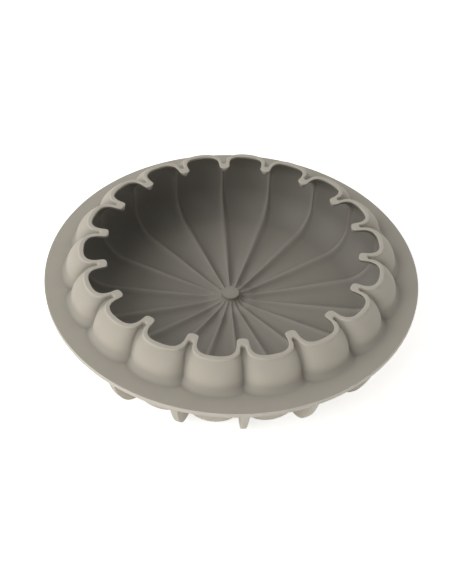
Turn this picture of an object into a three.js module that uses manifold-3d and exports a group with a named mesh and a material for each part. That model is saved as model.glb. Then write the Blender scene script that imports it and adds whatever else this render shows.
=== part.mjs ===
// Silicone cake mould: a fluted round bowl under a flat flange, a scalloped petal wall above it that
// leans in to a thin lip with a nib between every two petals, a centring button on the floor, and a
// ring of radial feet that hang from the flange and carry the bowl clear of the table.
// Millimetres, +Z up. The origin is on the table, under the middle of the mould.
import * as THREE from 'three';
import { mergeVertices } from 'three/addons/utils/BufferGeometryUtils.js';
import Module from 'manifold-3d';

// Pattern: petals round the mould. Every groove between two petals has a rib, a nib and a foot.
const petalCount = 18;

// Walls and heights
const wall = 3;
const standGap = 2.3; // table to the underside of the bowl
const cavityDepth = 56; // floor of the flutes to the top of the lip
const rimRise = 19.8; // top of the flange to the top of the lip
const flangeThickness = 3.4;
const lipHeight = 2;

// Radius of the flange, and how far in from its edge the cavity and the mouth lie
const flangeRadius = 130;
const flangeWidth = 18.5; // flange's edge to the flutes where the cavity is widest
const petalLean = 9.8; // from there in to the flutes at the lip
const lipWidth = 3.4; // lip at the middle of a petal
const cornerRadius = 12; // flutes, floor to side
const petalBulge = 3; // power of the curve that the petals lean in by
const flangeFillet = 3; // petals running out onto the flange

// Ribs inside the cavity, and the nibs that they end in
const wallRibHeight = 4.8;
const wallRibWidth = 2.4;
const floorRibHeight = 3;
const floorRibWidth = 3.6;
const ribCornerRadius = 16; // crests of the ribs, floor to side
const nibReach = 15.1; // flutes at the lip in to a nib's tip
const nibLength = 5.8; // tip to the groove behind it
const nibWidth = 7.2;
const nibDrop = 1.4; // blunt end of a nib below the lip
const grooveWidth = 1.3; // bottom of the outside grooves
const grooveRunOut = 6; // grooves fading into the flat underside

// Middle of the floor
const hubRadius = 11;
const hubRise = 1; // hub above the crests of the floor ribs
const fluteRunOut = 8; // flutes rising to the hub
const buttonRadius = 6.5;
const buttonHeight = 6;
const buttonFillet = 2;

// Feet
const footInset = 1.5; // flange's edge to the foot's top corner
const footProud = 6.3; // petals to the point where the foot's slanted edge would meet the table
const heelSweep = 22; // from that point in to where the rounded heel meets the table
const footSole = 12; // flat on the table
const footTopWidth = 6.2;
const footBottomWidth = 3.4;
const footGap = 0.3; // foot to the bowl that it is moulded against

// Smoothness
const fluteShares = [0, 0.5, 0.8, 0.95, 1]; // across a flute, from its middle to its edge
const cornerSteps = 4;
const shoulderSteps = 4;
const filletSteps = 2;
const buttonSegments = 36;
const heelSegments = 8;

// Levels and radii that follow from the sizes above
const fluteFloor = standGap + wall;
const ribFloor = fluteFloor + floorRibHeight;
const hubLevel = ribFloor + hubRise;
const rimTop = fluteFloor + cavityDepth;
const lipBottom = rimTop - lipHeight;
const nibBottom = lipBottom - nibDrop;
const flangeTop = rimTop - rimRise;
const flangeBottom = flangeTop - flangeThickness;
const waistRadius = flangeRadius - flangeWidth;
const mouthRadius = waistRadius - petalLean;
const nibRadius = mouthRadius - nibReach;
const ribRadius = waistRadius - wallRibHeight;
const petalRadius = waistRadius + wall;
const grooveRadius = ribRadius + wall;
const grooveEndRadius = nibRadius + nibLength;
const footHeelRadius = petalRadius + footProud;
const footToeRadius = footHeelRadius - heelSweep;
const footEndRadius = footToeRadius - footSole;
const petalAngle = (2 * Math.PI) / petalCount;

const silicone = { color: 0xb3ac9f, roughness: 0.62, metalness: 0 };

const { Manifold, Mesh: ManifoldMesh } = await loadManifold();

async function loadManifold() {
  const wasm = await Module();
  wasm.setup();
  return wasm;
}

function mix(from, to, share) {
  return from + (to - from) * share;
}

function polarPoint(angle, radius, z) {
  return [radius * Math.cos(angle), radius * Math.sin(angle), z];
}

// One closed ring of points round the mould, petal by petal from ridge to ridge. flute and ridge are
// [radius, z] at the middle of a petal and on a ridge, and weight(share) says how far the ring has
// moved from flute to ridge at a share of the way across half a flute. Near the middle of the mould,
// where the ridges meet, each takes at most half of its petal.
function petalRing(flute, ridge, ridgeWidth, weight) {
  const ridgeAngle = Math.min(Math.asin(ridgeWidth / 2 / ridge[0]), petalAngle / 4);
  const fluteAngle = petalAngle / 2 - ridgeAngle;
  const mirrored = fluteShares.slice(1).reverse().map((share) => -share);
  const shares = [...mirrored, ...fluteShares];
  const points = [];
  for (let petal = 0; petal < petalCount; petal += 1) {
    points.push(polarPoint(petal * petalAngle, ...ridge));
    const middle = (petal + 0.5) * petalAngle;
    for (const share of shares) {
      const moved = weight(Math.abs(share));
      const radius = mix(flute[0], ridge[0], moved);
      const z = mix(flute[1], ridge[1], moved);
      points.push(polarPoint(middle + share * fluteAngle, radius, z));
    }
  }
  return points;
}

// Closed skin over rings that follow one another down the outside and up the inside. A ring of one
// point is a pole.
function skin(rings) {
  const starts = [];
  let count = 0;
  for (const ring of rings) {
    starts.push(count);
    count += ring.length;
  }
  const indices = [];
  rings.forEach((ring, row) => {
    const next = (row + 1) % rings.length;
    const nextRing = rings[next];
    const steps = Math.max(ring.length, nextRing.length);
    for (let step = 0; step < steps; step += 1) {
      const a = starts[row] + (step % ring.length);
      const b = starts[row] + ((step + 1) % ring.length);
      const c = starts[next] + ((step + 1) % nextRing.length);
      const d = starts[next] + (step % nextRing.length);
      if (c !== d) indices.push(a, d, c);
      if (a !== b) indices.push(a, c, b);
    }
  });
  const geometry = new THREE.BufferGeometry();
  geometry.setAttribute('position', new THREE.Float32BufferAttribute(rings.flat(2), 3));
  geometry.setIndex(indices);
  return geometry;
}

function toManifold(geometry) {
  const bare = geometry.clone();
  bare.deleteAttribute('normal');
  bare.deleteAttribute('uv');
  const merged = mergeVertices(bare);
  return new Manifold(new ManifoldMesh({
    numProp: 3,
    vertProperties: new Float32Array(merged.attributes.position.array),
    triVerts: new Uint32Array(merged.index.array),
  }));
}

function fromManifold(solid) {
  const mesh = solid.getMesh();
  const geometry = new THREE.BufferGeometry();
  geometry.setAttribute('position', new THREE.BufferAttribute(mesh.vertProperties, 3));
  geometry.setIndex(new THREE.BufferAttribute(mesh.triVerts, 1));
  return geometry;
}

function named(name, geometry) {
  const mesh = new THREE.Mesh(geometry, new THREE.MeshStandardMaterial(silicone));
  mesh.name = name;
  return mesh;
}

// Across a flute of the inside: a shallow arc on the side of the bowl (lean 0) that deepens to a
// square-shouldered arch at the lip (lean 1).
function insideWeight(lean) {
  return (share) => 1 - (1 - share ** (2 + lean)) ** (1 / (1 + 2 * lean));
}

// Across a petal of the outside: an arc with its depth in a narrow groove, more so at the lip.
function outsideWeight(lean) {
  return (share) => share ** (3 + lean);
}

// Quarter circle from the floor (turn 0) to the side (turn 1) of a bowl, [radius, z].
function cornerPoint(sideRadius, floorZ, radius, turn) {
  const angle = (turn * Math.PI) / 2;
  return [
    sideRadius - radius + radius * Math.sin(angle),
    floorZ + radius - radius * Math.cos(angle),
  ];
}

function bowlInsideRings() {
  const hub = [hubRadius, hubLevel];
  const rings = [petalRing(hub, hub, floorRibWidth, insideWeight(0))];
  const start = hubRadius + fluteRunOut;
  rings.push(petalRing([start, fluteFloor], [start, ribFloor], floorRibWidth, insideWeight(0)));
  for (let step = 0; step <= cornerSteps; step += 1) {
    const turn = step / cornerSteps;
    const flute = cornerPoint(waistRadius, fluteFloor, cornerRadius, turn);
    const rib = cornerPoint(ribRadius, ribFloor, ribCornerRadius, turn);
    const width = mix(floorRibWidth, wallRibWidth, turn);
    rings.push(petalRing(flute, rib, width, insideWeight(0)));
  }
  return rings;
}

// Outside of the bowl from its corner to the flat underside, grown by a clearance.
function bowlOutsideRings(grown) {
  const skinned = wall + grown;
  const rings = [];
  for (let step = cornerSteps; step >= 0; step -= 1) {
    const turn = step / cornerSteps;
    const petal = cornerPoint(waistRadius + skinned, fluteFloor - skinned, cornerRadius + skinned, turn);
    const groove = cornerPoint(ribRadius + skinned, ribFloor - skinned, ribCornerRadius + skinned, turn);
    rings.push(petalRing(petal, groove, grooveWidth, outsideWeight(0)));
  }
  const flat = [ribRadius - ribCornerRadius - grooveRunOut, fluteFloor - skinned];
  rings.push(petalRing(flat, flat, grooveWidth, outsideWeight(0)));
  rings.push([[0, 0, fluteFloor - skinned]]);
  return rings;
}

// Outline of the cavity in the bowl's upright side, at one level.
function sideInsideRing(z) {
  return petalRing([waistRadius, z], [ribRadius, z], wallRibWidth, insideWeight(0));
}

function sideOutsideRing(z, grown) {
  const petal = [petalRadius + grown, z];
  const groove = [grooveRadius + grown, z];
  return petalRing(petal, groove, grooveWidth, outsideWeight(0));
}

function lowerBowl() {
  return skin([
    sideOutsideRing(flangeBottom, 0),
    ...bowlOutsideRings(0),
    [[0, 0, hubLevel]],
    ...bowlInsideRings(),
    sideInsideRing(flangeBottom),
  ]);
}

function flangeRing() {
  const edge = (z) => petalRing([flangeRadius, z], [flangeRadius, z], wallRibWidth, insideWeight(0));
  return skin([
    edge(flangeTop),
    edge(flangeBottom),
    sideInsideRing(flangeBottom),
    sideInsideRing(flangeTop),
  ]);
}

// Height share from the flange (0) to a level above it (1).
function riseShare(z, top) {
  return Math.min((z - flangeTop) / (top - flangeTop), 1);
}

function quarterEllipse(share) {
  return Math.sqrt(1 - share * share);
}

// Inside of the petal wall at one level: the flutes lean in along a power curve, the ribs swing
// further in along a quarter ellipse, widen like a beak and end in the upright faces of the nibs.
function upperInsideRing(z) {
  const share = riseShare(z, lipBottom);
  const flute = mix(waistRadius, mouthRadius, share ** petalBulge);
  const rib = mix(nibRadius, ribRadius, quarterEllipse(riseShare(z, nibBottom)));
  const width = mix(wallRibWidth, nibWidth, share ** petalBulge);
  return petalRing([flute, z], [rib, z], width, insideWeight(share));
}

// Outside of the petal wall at one level, flared by the fillet on the flange.
function upperOutsideRing(z, flare) {
  const share = riseShare(z, lipBottom);
  const petal = mix(petalRadius, mouthRadius + lipWidth, share ** petalBulge);
  const groove = mix(grooveEndRadius, grooveRadius, quarterEllipse(share));
  return petalRing([petal + flare, z], [groove + flare, z], grooveWidth, outsideWeight(share));
}

// Levels up a shoulder, closer together where it turns in.
function shoulderLevels(bottom, top) {
  const levels = [];
  for (let step = 0; step <= shoulderSteps; step += 1) {
    const angle = (step / shoulderSteps) * (Math.PI / 2);
    levels.push(mix(bottom, top, Math.sin(angle)));
  }
  return levels;
}

function petalWall() {
  const outside = shoulderLevels(flangeTop + flangeFillet, lipBottom).reverse();
  const rings = outside.map((z) => upperOutsideRing(z, 0));
  for (let step = filletSteps - 1; step >= 0; step -= 1) {
    const angle = (step / filletSteps) * (Math.PI / 2);
    const flare = flangeFillet * (1 - Math.sin(angle));
    rings.push(upperOutsideRing(flangeTop + flangeFillet * (1 - Math.cos(angle)), flare));
  }
  const inside = shoulderLevels(flangeTop, nibBottom);
  rings.push(...inside.map(upperInsideRing), upperInsideRing(lipBottom));
  return skin(rings);
}

// Upright band round the mouth, with the nibs' ends in it.
function rimLip() {
  const raised = (ring, z) => ring.map(([x, y]) => [x, y, z]);
  const outside = upperOutsideRing(lipBottom, 0);
  const inside = upperInsideRing(lipBottom);
  return skin([raised(outside, rimTop), outside, inside, raised(inside, rimTop)]);
}

function centreButton() {
  const top = hubLevel + buttonHeight;
  const profile = new THREE.Path();
  profile.moveTo(0, hubLevel);
  profile.lineTo(buttonRadius, hubLevel);
  profile.lineTo(buttonRadius, top - buttonFillet);
  profile.absarc(buttonRadius - buttonFillet, top - buttonFillet, buttonFillet, 0, Math.PI / 2);
  profile.lineTo(0, top);
  const geometry = new THREE.LatheGeometry(profile.getPoints(filletSteps * 2), buttonSegments);
  return geometry.rotateX(Math.PI / 2);
}

// A radial fin under one groove: it hangs from the flange, its outer edge sweeps in to the table, it
// thins towards the table, and its inner edge follows the outside of the bowl.
function foot() {
  const side = new THREE.Shape();
  side.moveTo(footEndRadius, 0);
  side.lineTo(footToeRadius, 0);
  side.quadraticCurveTo(footHeelRadius, 0, flangeRadius - footInset, flangeBottom);
  side.lineTo(footEndRadius, flangeBottom);
  side.closePath();
  const fin = new THREE.ExtrudeGeometry(side, { depth: 1, bevelEnabled: false, curveSegments: heelSegments });
  const position = fin.attributes.position;
  for (let vertex = 0; vertex < position.count; vertex += 1) {
    const z = position.getY(vertex);
    const width = mix(footBottomWidth, footTopWidth, z / flangeBottom);
    const across = (0.5 - position.getZ(vertex)) * width;
    position.setXYZ(vertex, position.getX(vertex), across, z);
  }
  const bowl = skin([
    sideOutsideRing(flangeTop, footGap),
    ...bowlOutsideRings(footGap),
    [[0, 0, flangeTop]],
  ]);
  return fromManifold(toManifold(fin).subtract(toManifold(bowl)));
}

const mould = new THREE.Group();
mould.add(named('lower_bowl', lowerBowl()));
mould.add(named('flange_ring', flangeRing()));
mould.add(named('petal_wall', petalWall()));
mould.add(named('rim_lip', rimLip()));
mould.add(named('centre_button', centreButton()));

const footGeometry = foot();
for (let index = 0; index < petalCount; index += 1) {
  const number = String(index + 1).padStart(2, '0');
  const fin = named(`foot_${number}`, footGeometry);
  fin.rotation.z = index * petalAngle;
  mould.add(fin);
}

export default mould;
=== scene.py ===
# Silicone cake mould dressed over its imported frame. Metres, +Z up, origin on the table under the mould.
import math
import bpy
import numpy as np
from mathutils import Matrix, Vector


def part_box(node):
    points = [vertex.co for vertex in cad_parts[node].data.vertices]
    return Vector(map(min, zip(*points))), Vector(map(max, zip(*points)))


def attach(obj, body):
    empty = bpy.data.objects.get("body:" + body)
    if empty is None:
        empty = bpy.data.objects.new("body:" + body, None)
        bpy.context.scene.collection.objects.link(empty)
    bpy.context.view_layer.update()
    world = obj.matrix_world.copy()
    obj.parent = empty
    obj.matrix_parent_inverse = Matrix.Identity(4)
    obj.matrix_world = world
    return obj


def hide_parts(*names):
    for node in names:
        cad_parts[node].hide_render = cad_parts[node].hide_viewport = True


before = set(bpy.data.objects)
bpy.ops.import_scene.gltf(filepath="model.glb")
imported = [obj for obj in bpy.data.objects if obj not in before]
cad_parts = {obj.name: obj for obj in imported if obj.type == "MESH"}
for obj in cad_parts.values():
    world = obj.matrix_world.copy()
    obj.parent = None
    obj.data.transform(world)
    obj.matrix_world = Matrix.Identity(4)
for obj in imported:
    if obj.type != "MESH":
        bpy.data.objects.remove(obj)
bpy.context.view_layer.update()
mm = 0.001
quarterTurn = math.pi / 2
print("frame loaded:", len(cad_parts), "nodes")


# Straight blend from one value to another
def mix(fromValue, toValue, share):
    return fromValue + (toValue - fromValue) * share


# Eased share: 3s^2 - 2s^3, level at both ends
def eased(share):
    return share * share * (3 - 2 * share)


# Eased share of the way from a start over a span, 0 before it and 1 after it
def easedFrom(start, span, value):
    return eased(np.clip((value - start) / span, 0, 1))


# Rows of a grid become quads a, b, c, d (this row, next row, next row and column, this row and column).
# Columns close on themselves, and a pole closes the first row and the last row to one point each.
def surfaceMesh(name, grid, firstPole, lastPole):
    rows, columns = grid.shape[:2]
    points = np.vstack([grid.reshape(-1, 3), firstPole, lastPole])
    steps = np.arange(columns)
    after = (steps + 1) % columns
    start = (np.arange(rows - 1) * columns)[:, None]
    quads = np.stack([start + steps, start + columns + steps, start + columns + after, start + after], -1)
    end = (rows - 1) * columns
    firstFan = np.stack([np.full(columns, rows * columns), steps, after], -1)
    lastFan = np.stack([end + steps, np.full(columns, rows * columns + 1), end + after], -1)
    faces = quads.reshape(-1, 4).tolist() + firstFan.tolist() + lastFan.tolist()
    mesh = bpy.data.meshes.new(name)
    mesh.from_pydata((points * mm).tolist(), [], faces)
    mesh.polygons.foreach_set("use_smooth", np.ones(len(mesh.polygons), dtype=bool))
    mesh.update()
    return mesh


# One float for each vertex of the grid, for a finish that follows the surface. The two poles take the mean
# of the first row and of the last row.
def surfaceValue(mesh, name, values):
    layer = mesh.attributes.new(name, "FLOAT", "POINT")
    values = np.concatenate([values.ravel(), [values[0].mean(), values[-1].mean()]])
    layer.data.foreach_set("value", values.astype(np.float32))


# Puts a mesh in the scene as a piece of the mould that stands for CAD nodes
def addPiece(name, mesh, material, *nodes):
    piece = bpy.data.objects.new(name, mesh)
    bpy.context.scene.collection.objects.link(piece)
    mesh.materials.append(material)
    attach(piece, "root")
    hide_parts(*nodes)
    return piece


# sRGB hex to linear: c / 12.92 below 0.04045, else ((c + 0.055) / 1.055) ^ 2.4
def hexColour(text):
    values = np.array([int(text[i:i + 2], 16) for i in (1, 3, 5)]) / 255
    linear = np.where(values <= 0.04045, values / 12.92, ((values + 0.055) / 1.055) ** 2.4)
    return (*linear.tolist(), 1.0)


# Adds a node, sets its properties, and fills its inputs with values or links
def addNode(tree, kind, inputs=None, **settings):
    node = tree.nodes.new(kind)
    for key, value in settings.items():
        setattr(node, key, value)
    for key, value in (inputs or {}).items():
        if isinstance(value, bpy.types.NodeSocket):
            tree.links.new(value, node.inputs[key])
        else:
            node.inputs[key].default_value = value
    return node


# Moulded platinum silicone, pigmented warm grey. Outside it comes from a fine-blasted steel tool, so it gives
# the eye a flat, dry, even skin with no clear reflections and a faint clouding of the pigment over a few
# centimetres. A paler colour is painted light: a painted highlight on the lip, the button's middle and the
# crests of the inside ribs, and painted light from below on the flange's edge and underside, the bowl and the
# feet, with the roughness a little lower there. A deeper grey is painted shade over the inside, less on its
# floor, with a satin skin; a little of it is painted shade on the flange's top, in the corner round the
# petals' feet and in the grooves between the petals.
silicone = dict(
    body="#c7c0b2",
    cloud="#c4bdaf",
    # paler colour that is painted light
    paintedLight="#e0d9cd",
    # deeper grey that is painted shade
    cavity="#8f8b83",
    ior=1.41,
    cloudSize=26,             # mm across a cloud of pigment
    cloudEdges=(0.35, 0.65),  # levels of the noise between which a cloud thins out
    grainSize=0.9,            # mm; blasted grain is about 0.2, drawn coarser so that it shows
    grainDepth=0.016,         # mm
    grainStrength=0.6,
    grainEdges=(0.3, 0.7),    # levels of the noise that give the lowest and the highest roughness
    roughness=(0.7, 0.82),
    satin=0.04,               # drop in roughness where the painted shade is full
    paintedLightSmooth=0.08,         # drop in roughness where the painted light is full
    paintedLightShare=0.75,         # share of the paler, painted-light colour where its mask is full
    lipHighlight=0.2,             # painted highlight on the lip
    edgeLight=1.0,            # painted light from below on the flange's edge and on the feet
    underLight=0.8,           # painted light from below on the flange's underside and on the bowl below it
    buttonHighlight=0.25,         # painted highlight on the middle of the button
    ribHighlight=0.24,            # painted highlight on the crests of the inside ribs
    ribCrest=2.0,             # mm, from the middle of a crest to where a third of the painted highlight is left
    floorShade=0.7,          # share of the painted shade kept on the inside floor
    floorReach=0.7,           # share of the inside radius where the floor's lighter painted shade ends
    floorFade=0.24,           # and the share over which the full painted shade returns
    lipFade=4,                # rings over which the painted shade ends below the lip
    flangeShade=0.22,        # painted shade on the flange's top
    footPolish=0.45,          # painted shade in the corner round the petals' feet
    footReach=9.0,            # mm, height of that corner
    footFade=(0.5, 0.15, 0, 0, 0),  # share of it that is left on the flange's rings, inner ring first
    grooveShade=0.5,         # painted shade in the grooves between the petals
    grooveFade=7,             # power of the curve that it fades by across a petal
)


def siliconeMaterial():
    material = bpy.data.materials.new("mouldedMatteSilicone")
    material.use_nodes = True
    tree = material.node_tree
    shader = tree.nodes["Principled BSDF"]
    place = addNode(tree, "ShaderNodeTexCoord")
    cloud = addNode(tree, "ShaderNodeTexNoise", {
        "Vector": place.outputs["Object"],
        "Scale": 1 / (silicone["cloudSize"] * mm),
        "Detail": 3.0,
        "Roughness": 0.55,
    })
    grain = addNode(tree, "ShaderNodeTexNoise", {
        "Vector": place.outputs["Object"],
        "Scale": 1 / (silicone["grainSize"] * mm),
        "Detail": 2.0,
        "Roughness": 0.6,
    })
    thin, full = silicone["cloudEdges"]
    clouded = addNode(tree, "ShaderNodeMapRange", {
        "Value": cloud.outputs["Fac"], "From Min": thin, "From Max": full,
    }, interpolation_type="SMOOTHSTEP")
    pigment = addNode(tree, "ShaderNodeMix", {
        "Factor": clouded.outputs["Result"],
        "A": hexColour(silicone["cloud"]),
        "B": hexColour(silicone["body"]),
    }, data_type="RGBA")
    # Painted shade: a deeper grey mixed in by its mask
    shadeMask = addNode(tree, "ShaderNodeAttribute", attribute_name="paintedShade")
    shaded = addNode(tree, "ShaderNodeMix", {
        "Factor": shadeMask.outputs["Fac"],
        "A": pigment.outputs["Result"],
        "B": hexColour(silicone["cavity"]),
    }, data_type="RGBA")
    # Painted light: a paler colour mixed in by its mask
    edge = addNode(tree, "ShaderNodeAttribute", attribute_name="paintedLight")
    lightShare = addNode(tree, "ShaderNodeMath", {
        0: edge.outputs["Fac"], 1: silicone["paintedLightShare"],
    }, operation="MULTIPLY")
    colour = addNode(tree, "ShaderNodeMix", {
        "Factor": lightShare.outputs["Value"],
        "A": shaded.outputs["Result"],
        "B": hexColour(silicone["paintedLight"]),
    }, data_type="RGBA")
    (hollow, peak), (smooth, rough) = silicone["grainEdges"], silicone["roughness"]
    dull = addNode(tree, "ShaderNodeMapRange", {
        "Value": grain.outputs["Fac"], "From Min": hollow, "From Max": peak, "To Min": smooth, "To Max": rough,
    })
    satin = addNode(tree, "ShaderNodeMath", {
        0: shadeMask.outputs["Fac"], 1: -silicone["satin"], 2: dull.outputs["Result"],
    }, operation="MULTIPLY_ADD")
    smoothed = addNode(tree, "ShaderNodeMath", {
        0: lightShare.outputs["Value"], 1: -silicone["paintedLightSmooth"], 2: satin.outputs["Value"],
    }, operation="MULTIPLY_ADD")
    bump = addNode(tree, "ShaderNodeBump", {
        "Height": grain.outputs["Fac"],
        "Strength": silicone["grainStrength"],
        "Distance": silicone["grainDepth"] * mm,
    })
    tree.links.new(colour.outputs["Result"], shader.inputs["Base Color"])
    tree.links.new(smoothed.outputs["Value"], shader.inputs["Roughness"])
    tree.links.new(bump.outputs["Normal"], shader.inputs["Normal"])
    shader.inputs["IOR"].default_value = silicone["ior"]
    return material


siliconeSkin = siliconeMaterial()
print("material made:", siliconeSkin.name)


# Sizes of the moulding in mm. Heights come from the frame's own boxes. In the functions below, the counts in
# linspace are rings of the grid.
shell = dict(
    petals=18,
    wall=3.0,
    flangeWidth=18.5,      # flange's edge to the flutes where the cavity is widest
    flangeEdge=0.3,        # rounding of the flange's edge
    flangeFillet=4.0,      # round the petals' feet
    grooveFillet=1.3,      # the same in the grooves, as a share of the petals'
    underFillet=2.0,
    petalLean=9.8,         # from the widest flutes in to the flutes at the lip
    petalBulge=3.0,        # power of the curve that the petals lean in by
    petalBelly=0.3,        # petals swelling out over their feet
    petalRound=0.6,        # share of the groove's depth that is a plain parabola
    cornerRadius=12.0,
    ribCornerRadius=16.0,
    cavityCorner=20.0,     # the same corners inside, where the wall is thicker
    cavityRibCorner=20.0,
    lipWidth=3.4,
    lipEdge=0.45,          # rounding of the lip's inner edge
    lipOuterEdge=0.85,     # and of its outer edge
    lipStep=0.9,           # lip standing proud of the petals
    wallRibHeight=4.8,
    wallRibWidth=3.0,      # bead along a rib, foot to foot
    wallBead=0.22,         # share of the rib's height that is the bead, the rest is the flute's own curve
    floorRibHeight=3.8,
    floorRibWidth=12.0,    # at the corner
    hubRibWidth=7.5,       # at the hub
    floorBead=0.5,
    beadCrest=0.25,        # rounding of a bead's crest, as a share of its half width
    nibReach=15.1,         # flutes at the lip in to a nib's tip
    nibLength=5.8,
    nibWidth=7.2,
    nibDrop=1.4,
    nibShoulder=0.84,      # share of the nib's reach where its rounded end starts
    nibPowers=(3, 2.3),    # of the curves up to the shoulder and round the end
    nibNarrowing=8.0,      # power of the curve that the nibs widen by
    creaseWall=1.6,        # between a rib's crest and the groove behind it
    grooveWidth=1.0,
    groovePower=5.2,       # how sharply the petals turn into the grooves
    grooveFall=1.5,        # power of the curve that the grooves fall by
    grooveRunOut=6.0,
    notchWidth=3.4,        # groove behind a nib, at the lip
    notchShoulder=0.88,    # share of the notch's reach where its rounded end starts
    notchPowers=(2.4, 2),
    notchDrop=2.0,         # step down from the lip at the notch's end
    notchRise=(3, 2, 6),   # powers that its outline, its width and its step come in by
    hubRadius=12.0,        # foot of the flare that the ribs climb to the button by
    hubSink=1.3,           # flutes below the ribs at the foot of the flare
    neckRadius=6.3,        # top of the flare, under the button
    flareDrop=1.0,         # top of the button down to the top of the flare
    fluteRunOut=10.0,
    fluteColumns=11,       # grid columns over half a flute and over half a ridge
    ridgeColumns=6,
    columnCrowding=1.8,    # power that columns crowd towards the ridge by
    petalCrowding=0.8,     # and rings towards the lip
    flangeRings=4,         # rings over the flange's top and over its underside
    edgeRings=12,          # rings round its edge
    underRings=(0.66, 0.33, 0.1),  # rings of the flat underside, as shares of its radius
)
lipLow, lipHigh = (corner[2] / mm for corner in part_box("rim_lip"))
flangeLow, flangeHigh = (corner[2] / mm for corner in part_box("flange_ring"))
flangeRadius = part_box("flange_ring")[1][0] / mm
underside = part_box("lower_bowl")[0][2] / mm
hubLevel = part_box("centre_button")[0][2] / mm
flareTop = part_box("centre_button")[1][2] / mm - shell["flareDrop"]
fluteFloor = underside + shell["wall"]
ribFloor = fluteFloor + shell["floorRibHeight"]
nibLow = lipLow - shell["nibDrop"]
waistRadius = flangeRadius - shell["flangeWidth"]
mouthRadius = waistRadius - shell["petalLean"]
nibRadius = mouthRadius - shell["nibReach"]
ribRadius = waistRadius - shell["wallRibHeight"]
petalRadius = waistRadius + shell["wall"]
grooveRadius = ribRadius + shell["creaseWall"]
grooveEnd = nibRadius + shell["nibLength"]
halfPetal = math.pi / shell["petals"]


# Columns of the grid: every petal runs from the crest of one ridge, over its flute, to the next crest.
# fluteShare is 0 in the middle of the flute and 1 at the foot of the ridge, ridgeShare 1 there and 0 on
# the crest. Columns crowd towards the foot, where a nib's flank is nearly upright.
def petalColumns():
    across = 1 - np.linspace(1, 0, shell["fluteColumns"] + 1) ** shell["columnCrowding"]
    over = np.cos(np.linspace(0, quarterTurn, shell["ridgeColumns"] + 1))
    flute = np.concatenate([across, np.ones(shell["ridgeColumns"])])
    ridge = np.concatenate([np.ones(shell["fluteColumns"] + 1), over[1:]])
    ridge[-1] = 0
    flute = np.concatenate([flute[::-1], flute[1:-1]])
    ridge = np.concatenate([ridge[::-1], ridge[1:-1]])
    side = np.repeat([-1.0, 1.0], [len(flute) // 2, len(flute) - len(flute) // 2])
    count = shell["petals"]
    middle = np.repeat((np.arange(count) + 0.5) * 2 * halfPetal, len(flute))
    return np.tile(side, count), np.tile(flute, count), np.tile(ridge, count), middle


columnSide, fluteShare, ridgeShare, columnMiddle = petalColumns()
onRidge = ridgeShare < 1


# Scallop across a petal, 0 in its middle and 1 on the ridge: k (g x^2 + (1 - g) x^n), and a parabola over the
# ridge. k is chosen so that the two meet in one slope.
def scallop(edgeShare, gentle, power):
    slope = 2 * gentle + power * (1 - gentle)
    reach = 1 / (1 + slope / 2 * (1 - edgeShare) / edgeShare)
    curve = reach * (gentle * fluteShare ** 2 + (1 - gentle) * fluteShare ** power)
    return np.where(onRidge, 1 - (1 - reach) * ridgeShare ** 2, curve)


# Bead over a ridge, 0 at its feet and 1 on its crest, with hollow flanks: (1 - u)^2, where u is
# (sqrt(y^2 + c^2) - c) / (sqrt(1 + c^2) - c) and c rounds the crest
def ridgeBead(crest):
    fromCrest = (np.sqrt(ridgeShare ** 2 + crest ** 2) - crest) / (math.sqrt(1 + crest ** 2) - crest)
    return np.where(onRidge, (1 - fromCrest) ** 2, 0)


# Outline along the lip, 0 in the petal's middle and 1 at its end: a quarter superellipse 1 - (1 - x^n)^(1/n)
# up to the shoulder, and another, (1 - y^m)^(1/m), round the end
def lipOutline(shoulder, power, endPower):
    arch = shoulder * (1 - (1 - fluteShare ** power) ** (1 / power))
    end = shoulder + (1 - shoulder) * (1 - ridgeShare ** endPower) ** (1 / endPower)
    return np.where(onRidge, end, arch)


# Inside, a shallow scallop with a bead along each rib turns into the outline of the nibs as lean goes to 1
def insideWeight(edgeShare, lean, bead):
    rib = mix(scallop(edgeShare, 1, 2), ridgeBead(shell["beadCrest"]), bead)
    return mix(rib, lipOutline(shell["nibShoulder"], *shell["nibPowers"]), lean)


# Outside, round petals with plain grooves between them turn into the outline of the notches behind the nibs
def outsideWeight(edgeShare, lean, bead):
    petal = scallop(edgeShare, shell["petalRound"], shell["groovePower"])
    return mix(petal, lipOutline(shell["notchShoulder"], *shell["notchPowers"]), lean)


# Rings round the mould, one for each entry of the row arrays: the angle is the petal's middle plus
# fluteShare times the flute's half angle, or the rest of the way to the crest by ridgeShare, and radius and
# height go from the flute's to the ridge's by weight.
def petalRings(weight, fluteR, fluteZ, ridgeR, ridgeZ, ridgeWidth, lean=0.0, bead=0.0):
    rows = np.broadcast_arrays(*np.atleast_1d(fluteR, fluteZ, ridgeR, ridgeZ, ridgeWidth, lean, bead))
    rows = (np.asarray(row, float)[:, None] for row in rows)
    fluteR, fluteZ, ridgeR, ridgeZ, ridgeWidth, lean, bead = rows
    edge = halfPetal - np.minimum(ridgeWidth / 2 / ridgeR, halfPetal / 2)
    offset = np.where(onRidge, halfPetal - ridgeShare * (halfPetal - edge), fluteShare * edge)
    moved = weight(edge / halfPetal, lean, bead)
    radius = mix(fluteR, ridgeR, moved)
    angle = columnMiddle + columnSide * offset
    return np.stack([radius * np.cos(angle), radius * np.sin(angle), mix(fluteZ, ridgeZ, moved)], -1)


# Quarter circle from the floor (turn 0) to the side (turn 1): radius R - r + r sin a, height F + r - r cos a
def cornerArc(sideRadius, floorZ, radius, turn):
    angle = turn * quarterTurn
    return sideRadius - radius + radius * np.sin(angle), floorZ + radius - radius * np.cos(angle)


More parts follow.
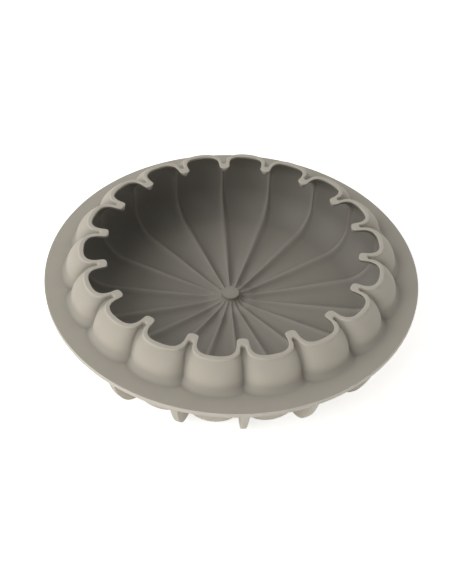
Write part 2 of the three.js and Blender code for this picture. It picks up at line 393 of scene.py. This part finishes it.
# Inside from the hub to the flange's level: flutes and ribs fall from the button along a quarter ellipse, sink
# on from the hub, run out along the floor, turn up a quarter circle each and rise straight.
def bowlInside():
    hub, neck, hubWidth = shell["hubRadius"], shell["neckRadius"], shell["hubRibWidth"]
    hubEnd, fluteHub = hub + shell["fluteRunOut"], hubLevel - shell["hubSink"]
    floorBead, wallBead = shell["floorBead"], shell["wallBead"]
    fluteCorner, ribCorner = shell["cavityCorner"], shell["cavityRibCorner"]
    rings = [petalRings(insideWeight, neck / 2, flareTop, neck / 2, flareTop, hubWidth, bead=floorBead)]
    turn = np.linspace(quarterTurn, 0, 8)
    climb = 1 - np.cos(turn)
    flare = mix(hub, neck, np.sin(turn))
    rings.append(petalRings(insideWeight, flare, mix(fluteHub, flareTop, climb), flare,
                            mix(hubLevel, flareTop, climb), hubWidth, bead=floorBead))
    share = np.linspace(0, 1, 7)[1:]
    spread = mix(hub, hubEnd, share)
    sunk = eased(share)
    rings.append(petalRings(insideWeight, spread, mix(fluteHub, fluteFloor, sunk), spread,
                            mix(hubLevel, ribFloor, sunk), hubWidth, bead=floorBead))
    share = np.linspace(0, 1, 11)[1:-1]
    rings.append(petalRings(insideWeight, mix(hubEnd, waistRadius - fluteCorner, share), fluteFloor,
                            mix(hubEnd, ribRadius - ribCorner, share), ribFloor,
                            mix(hubWidth, shell["floorRibWidth"], share), bead=floorBead))
    turn = np.linspace(0, 1, 14)
    rings.append(petalRings(insideWeight, *cornerArc(waistRadius, fluteFloor, fluteCorner, turn),
                            *cornerArc(ribRadius, ribFloor, ribCorner, turn),
                            mix(shell["floorRibWidth"], shell["wallRibWidth"], turn),
                            bead=mix(floorBead, wallBead, turn)))
    share = np.linspace(0, 1, 7)[1:-1]
    rings.append(petalRings(insideWeight, waistRadius, mix(fluteFloor + fluteCorner, flangeHigh, share),
                            ribRadius, mix(ribFloor + ribCorner, flangeHigh, share),
                            shell["wallRibWidth"], bead=wallBead))
    return np.concatenate(rings)


# Inside above the flange: flutes lean in by share^bulge, ribs swing in along a quarter ellipse up to the
# nibs' blunt ends and widen by share^narrowing.
def shoulderInside():
    climb = np.sin(np.linspace(0, quarterTurn, 19))
    face = np.linspace(nibLow, lipHigh - shell["lipEdge"], 5)[1:]
    height = np.concatenate([mix(flangeHigh, nibLow, climb), face])
    share = np.minimum((height - flangeHigh) / (lipLow - flangeHigh), 1)
    swing = np.minimum((height - flangeHigh) / (nibLow - flangeHigh), 1)
    climbed = (height - flangeHigh) / (height[-1] - flangeHigh)
    flute = mix(waistRadius, mouthRadius, share ** shell["petalBulge"])
    rib = mix(nibRadius, ribRadius, np.sqrt(1 - swing ** 2))
    width = mix(shell["wallRibWidth"], shell["nibWidth"], climbed ** shell["nibNarrowing"])
    return petalRings(insideWeight, flute, height, rib, height, width, share, shell["wallBead"])


# Outside of the petals from the lip down to the fillet on the flange: petals lean in by share^bulge and swell
# by b 27/4 s (1 - s)^2, which is b at its fullest, grooves fall away behind the nibs by (1 - s^n)^(1/2), and
# the fillet flares both by r (1 - sin a).
def shoulderOutside():
    fillet = shell["flangeFillet"]
    foot, top = flangeHigh + fillet, lipHigh - shell["lipStep"]
    drop = np.linspace(1, 0, 20) ** shell["petalCrowding"]
    angle = np.linspace(quarterTurn, 0, 8)[1:]
    height = np.concatenate([mix(foot, top, drop), flangeHigh + fillet * (1 - np.cos(angle))])
    flare = np.concatenate([np.zeros(len(drop)), fillet * (1 - np.sin(angle))])
    share = np.clip((height - flangeHigh) / (top - flangeHigh), 0, 1)
    petal = mix(petalRadius, mouthRadius + shell["lipWidth"], share ** shell["petalBulge"])
    petal = petal + shell["petalBelly"] * 27 / 4 * share * (1 - share) ** 2
    groove = mix(grooveEnd, grooveRadius, np.sqrt(1 - share ** shell["grooveFall"]))
    outline, widening, stepping = (share ** power for power in shell["notchRise"])
    width = mix(shell["grooveWidth"], shell["notchWidth"], widening)
    sunk = height - shell["notchDrop"] * stepping
    return petalRings(outsideWeight, petal + flare, height, groove + shell["grooveFillet"] * flare, sunk,
                      width, outline)


# Flat top of the lip between two outlines, with each edge rounded: inset r (1 - cos a), height r sin a
def lipTop(inner, outer):
    edge, outerEdge = shell["lipEdge"], shell["lipOuterEdge"]
    angle = np.linspace(0, quarterTurn, 5)[:, None, None]
    inner, outer = inner.copy(), outer.copy()
    inner[:, 2] = outer[:, 2] = lipHigh
    across = outer - inner
    across /= np.linalg.norm(across, axis=1, keepdims=True)
    up = np.array([0, 0, 1])
    rise = inner + across * edge * (1 - np.cos(angle)) + up * edge * (np.sin(angle) - 1)
    fall = (outer - across * outerEdge * (1 - np.cos(angle)) + up * outerEdge * (np.sin(angle) - 1))[::-1]
    flat = mix(rise[-1], fall[0], np.linspace(0, 1, 5)[1:-1, None, None])
    return np.concatenate([rise[1:], flat, fall])


# Flange: its top runs from the petals' outline to a circle, its edge is rounded by r sin a and r cos a, and
# its underside runs back
def flangeBand(topOutline, underOutline):
    edge = shell["flangeEdge"]
    share = eased(np.linspace(0, 1, shell["flangeRings"] + 2))[1:-1, None, None]
    turn = np.linspace(0, quarterTurn, shell["edgeRings"] // 2)
    inset = flangeRadius - edge
    radius = np.concatenate([inset + edge * np.sin(turn), inset + edge * np.cos(turn)])
    height = np.concatenate([flangeHigh - edge + edge * np.cos(turn), flangeLow + edge - edge * np.sin(turn)])
    rim = petalRings(outsideWeight, radius, height, radius, height, shell["grooveWidth"])
    return np.concatenate([mix(topOutline, rim[0], share), rim, mix(rim[-1], underOutline, share)])


# Outside of the bowl: a fillet r (1 - sin a) under the flange, down the straight side, a quarter circle round
# the corner, and over the grooves' eased run-out to the flat underside
def bowlOutside():
    fillet, wall, crease, width = (shell[key] for key in ("underFillet", "wall", "creaseWall", "grooveWidth"))
    corner, ribCorner = shell["cornerRadius"], shell["ribCornerRadius"]
    angle = np.linspace(0, quarterTurn, 6)
    flare = fillet * (1 - np.sin(angle))
    height = flangeLow - fillet * (1 - np.cos(angle))
    rings = [petalRings(outsideWeight, petalRadius + flare, height, grooveRadius + flare, height, width)]
    share = np.linspace(0, 1, 7)[1:-1]
    rings.append(petalRings(outsideWeight, petalRadius, mix(flangeLow - fillet, fluteFloor + corner, share),
                            grooveRadius, mix(flangeLow - fillet, ribFloor + ribCorner, share), width))
    turn = np.linspace(1, 0, 14)
    rings.append(petalRings(outsideWeight, *cornerArc(petalRadius, underside, corner + wall, turn),
                            *cornerArc(grooveRadius, ribFloor - crease, ribCorner + crease, turn), width))
    share = np.linspace(0, 1, 7)[1:]
    flat = ribRadius - ribCorner - shell["grooveRunOut"]
    rings.append(petalRings(outsideWeight, mix(waistRadius - corner, flat, share), underside,
                            mix(ribRadius - ribCorner, flat, share),
                            mix(ribFloor - crease, underside, eased(share)), width))
    centre = np.array(shell["underRings"]) * flat
    rings.append(petalRings(outsideWeight, centre, underside, centre, underside, width))
    return np.concatenate(rings)


# One skin over the whole moulding: up the inside, over the lip, down the petals, round the flange and under
# the bowl. A painted highlight on the ribs falls off by exp(-(d / c)^2) with the distance d from a crest. The
# painted shade eases off on the inside floor, up the petals from their feet, and by x^n across a petal from
# its grooves.
def mouldShell():
    inside = np.concatenate([bowlInside(), shoulderInside()])
    outside = shoulderOutside()
    lip = lipTop(inside[-1], outside[0])
    below = bowlOutside()
    band = flangeBand(outside[-1], below[0])
    skin = [inside, lip, outside, band, below]
    grid = np.concatenate(skin)
    mesh = surfaceMesh("mouldShell", grid, [0, 0, flareTop], [0, 0, underside])
    ends = np.cumsum([len(rings) for rings in skin])
    lipRows, petalRows, bandRows, underRows = (slice(*rows) for rows in zip(ends, ends[1:]))

    # Painted light: highlights on the ribs and the lip, and light from below on the flange's edge, its
    # underside and the bowl
    paintedLight = np.zeros(grid.shape[:2])
    radius = np.hypot(inside[..., 0], inside[..., 1])
    angle = np.arctan2(inside[..., 1], inside[..., 0]) % (2 * halfPetal)
    fromCrest = radius * np.minimum(angle, 2 * halfPetal - angle)
    paintedLight[:len(inside)] = silicone["ribHighlight"] * np.exp(-(fromCrest / silicone["ribCrest"]) ** 2)
    paintedLight[lipRows] = silicone["lipHighlight"]
    top, under = shell["flangeRings"] + 1, shell["flangeRings"]
    paintedLight[bandRows][top:] = silicone["edgeLight"]
    paintedLight[bandRows][-under:] = silicone["underLight"]
    paintedLight[underRows] = silicone["underLight"]
    surfaceValue(mesh, "paintedLight", paintedLight)

    # Painted shade: a deeper grey over the inside, on the flange's top, round the petals' feet and in the
    # grooves
    paintedShade = np.zeros(grid.shape[:2])
    beyondFloor = easedFrom(silicone["floorReach"], silicone["floorFade"], radius.mean(1) / waistRadius)
    toLip = np.minimum(np.arange(len(inside), 0, -1) / silicone["lipFade"], 1)
    paintedShade[:len(inside)] = (mix(silicone["floorShade"], 1, beyondFloor) * toLip)[:, None]
    foot = 1 - easedFrom(flangeHigh, silicone["footReach"], outside[..., 2])
    groove = fluteShare ** silicone["grooveFade"]
    paintedShade[petalRows] = 1 - (1 - silicone["footPolish"] * foot) * (1 - silicone["grooveShade"] * groove)
    fade = np.array(silicone["footFade"])[:, None]
    paintedShade[bandRows][:top] = mix(silicone["flangeShade"], silicone["footPolish"], fade)
    surfaceValue(mesh, "paintedShade", paintedShade)
    return mesh


shellPiece = addPiece("mouldShell", mouldShell(), siliconeSkin,
                      "lower_bowl", "flange_ring", "petal_wall", "rim_lip")
print("shell made:", len(shellPiece.data.polygons), "faces")


# Centring button on the hub, in mm
button = dict(topEdge=0.9, crown=0.3, columns=72)


# Turned shape: a top crowned by c (r / R)^2, an edge rounded by e sin a and e cos a, and a straight side
def centreButton():
    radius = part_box("centre_button")[1][0] / mm
    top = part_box("centre_button")[1][2] / mm
    edge, crown = button["topEdge"], button["crown"]
    flatR = np.linspace(0, 1, 7)[1:] * (radius - edge)
    turn = np.linspace(0, quarterTurn, 8)[1:]
    flatZ = top - crown * (flatR / radius) ** 2
    edgeR = radius - edge + edge * np.sin(turn)
    edgeZ = flatZ[-1] - edge + edge * np.cos(turn)
    profileR = np.concatenate([flatR, edgeR, [radius]])[:, None]
    profileZ = np.concatenate([flatZ, edgeZ, [hubLevel]])[:, None]
    angle = np.linspace(0, 2 * math.pi, button["columns"], endpoint=False)
    grid = np.stack([profileR * np.cos(angle), profileR * np.sin(angle), profileZ + 0 * angle], -1)
    mesh = surfaceMesh("centringButton", grid, [0, 0, top], [0, 0, hubLevel])
    # Painted highlight on the button's middle, and painted shade as on the inside floor
    surfaceValue(mesh, "paintedLight", np.linspace(silicone["buttonHighlight"], 0, len(profileR))[:, None] + 0 * angle)
    surfaceValue(mesh, "paintedShade", np.full(grid.shape[:2], silicone["floorShade"]))
    return mesh


addPiece("centringButton", centreButton(), siliconeSkin, "centre_button")
print("button made")


# Radial feet under the grooves, in mm
feet = dict(
    inset=1.5,         # flange's edge to the foot's top corner
    proud=6.3,         # petals to where the slanted edge would meet the table
    heelSweep=22.0,
    sole=12.0,
    nose=1.0,          # rounding of the sole's inner end
    topWidth=5.0,
    bottomWidth=2.8,
    edge=0.4,          # rounding of the outer edge
    flare=1.0,         # height of the fillet onto the flange
    flareWidth=0.8,    # its width, as a share of its height
    sunk=1.2,          # top and inner end inside the wall that carries them
    rootOut=1.3,       # groove's bottom to the foot's root, which stays inside the wall beside the groove
)


# A section carried along the foot's outline. The outline falls from the flange along a quadratic curve
# (1-t)^2 A + 2t(1-t) K + t^2 B to the heel, runs along the sole and turns up its inner end; its root follows
# the bowl's wall, straight, then round the corner's centre. Across, the section runs from the root to
# a rounded outer edge, along L - e + e sin a and across h - e + e cos a, and h tapers with height.
def footGrid():
    heel = petalRadius + feet["proud"]
    toe = heel - feet["heelSweep"]
    end = toe - feet["sole"]
    corner, bend, tip = np.array([[flangeRadius - feet["inset"], flangeLow], [heel, 0], [toe, 0]])
    t = np.linspace(0, 1, 30)[:, None]
    sweep = (1 - t) ** 2 * corner + 2 * t * (1 - t) * bend + t ** 2 * tip
    nose = feet["nose"]
    sole = np.stack([np.linspace(toe, end + nose, 6)[1:-1], np.zeros(4)], -1)
    turn = np.linspace(0, quarterTurn, 6)
    upturn = np.stack([end + nose - nose * np.sin(turn), nose - nose * np.cos(turn)], -1)
    hang, tuck = [[corner[0], flangeLow + feet["sunk"]]], [[end, underside + feet["sunk"]]]
    outline = np.concatenate([hang, sweep, sole, upturn, tuck])

    centre = np.array([ribRadius - shell["ribCornerRadius"], ribFloor + shell["ribCornerRadius"]])
    reach = shell["ribCornerRadius"] + shell["creaseWall"] + feet["rootOut"]
    away = outline - centre
    around = centre + reach * away / np.linalg.norm(away, axis=1, keepdims=True)
    upright = np.stack([np.full(len(outline), centre[0] + reach), outline[:, 1]], -1)
    flat = np.stack([outline[:, 0], np.full(len(outline), centre[1] - reach)], -1)
    root = np.where(away[:, 1:] >= 0, upright, np.where(away[:, :1] >= 0, around, flat))
    along = outline - root
    length = np.linalg.norm(along, axis=1, keepdims=True)

    arc = np.linspace(0, quarterTurn, 5)
    bite = np.concatenate([[0, 0.5], np.ones(6)])
    lift = np.concatenate([[0, 0], np.sin(arc), [1]])
    narrow = np.concatenate([[0, 0], 1 - np.cos(arc), [1]])
    bite, lift, narrow = (np.concatenate([row, row[-2::-1]]) for row in (bite, lift, narrow))
    side = np.sign(np.arange(len(bite)) - len(bite) // 2)
    edge = np.minimum(feet["edge"], length / 3)
    share = (bite * (length - edge) + lift * edge) / length
    place = root[:, None, :] + along[:, None, :] * share[..., None]
    high = np.clip(place[..., 1] / flangeLow, 0, 1)
    near = np.clip((place[..., 1] - flangeLow + feet["flare"]) / feet["flare"], 0, 1)
    half = mix(feet["bottomWidth"], feet["topWidth"], high) / 2
    half = half + feet["flare"] * feet["flareWidth"] * (1 - np.sqrt(1 - near ** 2))
    return np.stack([place[..., 0], side * (half - edge * narrow), place[..., 1]], -1)


footShape = footGrid()
for index in range(shell["petals"]):
    angle = index * 2 * halfPetal
    cosine, sine = math.cos(angle), math.sin(angle)
    turned = footShape @ np.array([[cosine, sine, 0], [-sine, cosine, 0], [0, 0, 1]])
    name = "foot%02d" % (index + 1)
    footMesh = surfaceMesh(name, turned, turned[0].mean(0), turned[-1].mean(0))
    # Painted light from below on the feet
    surfaceValue(footMesh, "paintedLight", np.full(turned.shape[:2], silicone["edgeLight"]))
    addPiece(name, footMesh, siliconeSkin, "foot_%02d" % (index + 1))
print("feet made:", shell["petals"])


# Pale studio floor, in metres. It is white to the camera where light reaches it, and keeps the mould's shadow.
floor = dict(size=4.0, colour="#f6f5f2", roughness=0.9, specular=0.1, glow=0.7)


def studioFloor():
    reach = floor["size"] / 2
    corners = [(-reach, -reach, 0), (reach, -reach, 0), (reach, reach, 0), (-reach, reach, 0)]
    mesh = bpy.data.meshes.new("studioFloor")
    mesh.from_pydata(corners, [], [(0, 1, 2, 3)])
    material = bpy.data.materials.new("paleFloor")
    material.use_nodes = True
    tree = material.node_tree
    shader = tree.nodes["Principled BSDF"]
    shader.inputs["Base Color"].default_value = hexColour(floor["colour"])
    shader.inputs["Roughness"].default_value = floor["roughness"]
    shader.inputs["Specular IOR Level"].default_value = floor["specular"]
    path = addNode(tree, "ShaderNodeLightPath")
    seen = addNode(tree, "ShaderNodeMath", {
        0: path.outputs["Is Camera Ray"], 1: path.outputs["Is Glossy Ray"],
    }, operation="MAXIMUM")
    seen = addNode(tree, "ShaderNodeMath", {
        0: seen.outputs["Value"], 1: path.outputs["Is Transmission Ray"],
    }, operation="MAXIMUM")
    glow = addNode(tree, "ShaderNodeMath", {0: seen.outputs["Value"], 1: floor["glow"]}, operation="MULTIPLY")
    shader.inputs["Emission Color"].default_value = (1, 1, 1, 1)
    tree.links.new(glow.outputs["Value"], shader.inputs["Emission Strength"])
    ground = bpy.data.objects.new("studioFloor", mesh)
    mesh.materials.append(material)
    bpy.context.scene.collection.objects.link(ground)


studioFloor()
print("floor made")


# Soft studio light: a large softbox at the front left, in a dim room with a bright back and a bright low band
# all round it, as a white sweep gives. The softbox is in degrees, metres and watts, and faces the height aim.
room = dict(base=0.16, back=0.7, band=1.9, bandTop=0.3)
softbox = dict(azimuth=213.0, elevation=40.0, distance=3.0, size=2.6, power=51.6, aim=0.03)


# Strength of the room along a direction: base + back y, and the band's own up to the height where it ends
def studioRoom():
    world = bpy.data.worlds.new("studioRoom")
    bpy.context.scene.world = world
    world.use_nodes = True
    tree = world.node_tree
    shade = tree.nodes["Background"]
    place = addNode(tree, "ShaderNodeTexCoord")
    split = addNode(tree, "ShaderNodeSeparateXYZ", {0: place.outputs["Generated"]})
    behind = addNode(tree, "ShaderNodeMath", {0: split.outputs["Y"], 1: 0.0}, operation="MAXIMUM")
    sides = addNode(tree, "ShaderNodeMath", {
        0: behind.outputs["Value"], 1: room["back"], 2: room["base"],
    }, operation="MULTIPLY_ADD")
    level = addNode(tree, "ShaderNodeMapRange", {
        "Value": split.outputs["Z"], "From Min": 0.0, "From Max": room["bandTop"],
        "To Min": room["band"], "To Max": sides.outputs["Value"],
    }, interpolation_type="SMOOTHSTEP")
    tree.links.new(level.outputs["Result"], shade.inputs["Strength"])
    shade.inputs["Color"].default_value = (1, 1, 1, 1)


# Square lamp at an angle round and above the mould, facing it
def studioSoftbox():
    light = bpy.data.lights.new("frontLeftSoftbox", "AREA")
    light.shape = "SQUARE"
    light.size = softbox["size"]
    light.energy = softbox["power"]
    around, rise = math.radians(softbox["azimuth"]), math.radians(softbox["elevation"])
    away = Vector((math.cos(rise) * math.cos(around), math.cos(rise) * math.sin(around), math.sin(rise)))
    lamp = bpy.data.objects.new("frontLeftSoftbox", light)
    lamp.location = away * softbox["distance"] + Vector((0, 0, softbox["aim"]))
    lamp.rotation_euler = (-away).to_track_quat("-Z", "Y").to_euler()
    bpy.context.scene.collection.objects.link(lamp)


studioRoom()
studioSoftbox()
print("light made")


# Camera at the photograph's angle: it looks at the middle of the flange's top from a distance in flange
# radii, moved along its own right and up, then rolled. Angles are in degrees.
camera = dict(elevation=44.9957, azimuth=4.87, roll=-2.0634, distance=4.7419, right=-0.0264, up=-0.1452,
              focalPixels=877.64, imageHeight=584, sensor=36, clipStart=0.01)


def photoCamera():
    scale = flangeRadius * mm
    rise, around, roll = (math.radians(camera[key]) for key in ("elevation", "azimuth", "roll"))
    turn = Matrix.Rotation(around, 3, "Z")
    ahead = turn @ Vector((0, math.cos(rise), -math.sin(rise)))
    right = turn @ Vector((1, 0, 0))
    up = right.cross(ahead)
    place = (right * camera["right"] + up * camera["up"] - ahead * camera["distance"]) * scale
    place += Vector((0, 0, flangeHigh * mm))
    rolledRight = right * math.cos(roll) - up * math.sin(roll)
    rolledUp = right * math.sin(roll) + up * math.cos(roll)
    lens = bpy.data.cameras.new("photoCamera")
    lens.sensor_width = camera["sensor"]
    lens.lens = camera["focalPixels"] * camera["sensor"] / camera["imageHeight"]
    lens.clip_start = camera["clipStart"]
    eye = bpy.data.objects.new("photoCamera", lens)
    turned = Matrix((rolledRight, rolledUp, -ahead)).transposed()
    eye.matrix_world = Matrix.Translation(place) @ turned.to_4x4()
    bpy.context.scene.collection.objects.link(eye)
    bpy.context.scene.camera = eye


photoCamera()
bpy.context.scene.view_settings.view_transform = "Standard"
print("camera made")

bpy.context.view_layer.update()
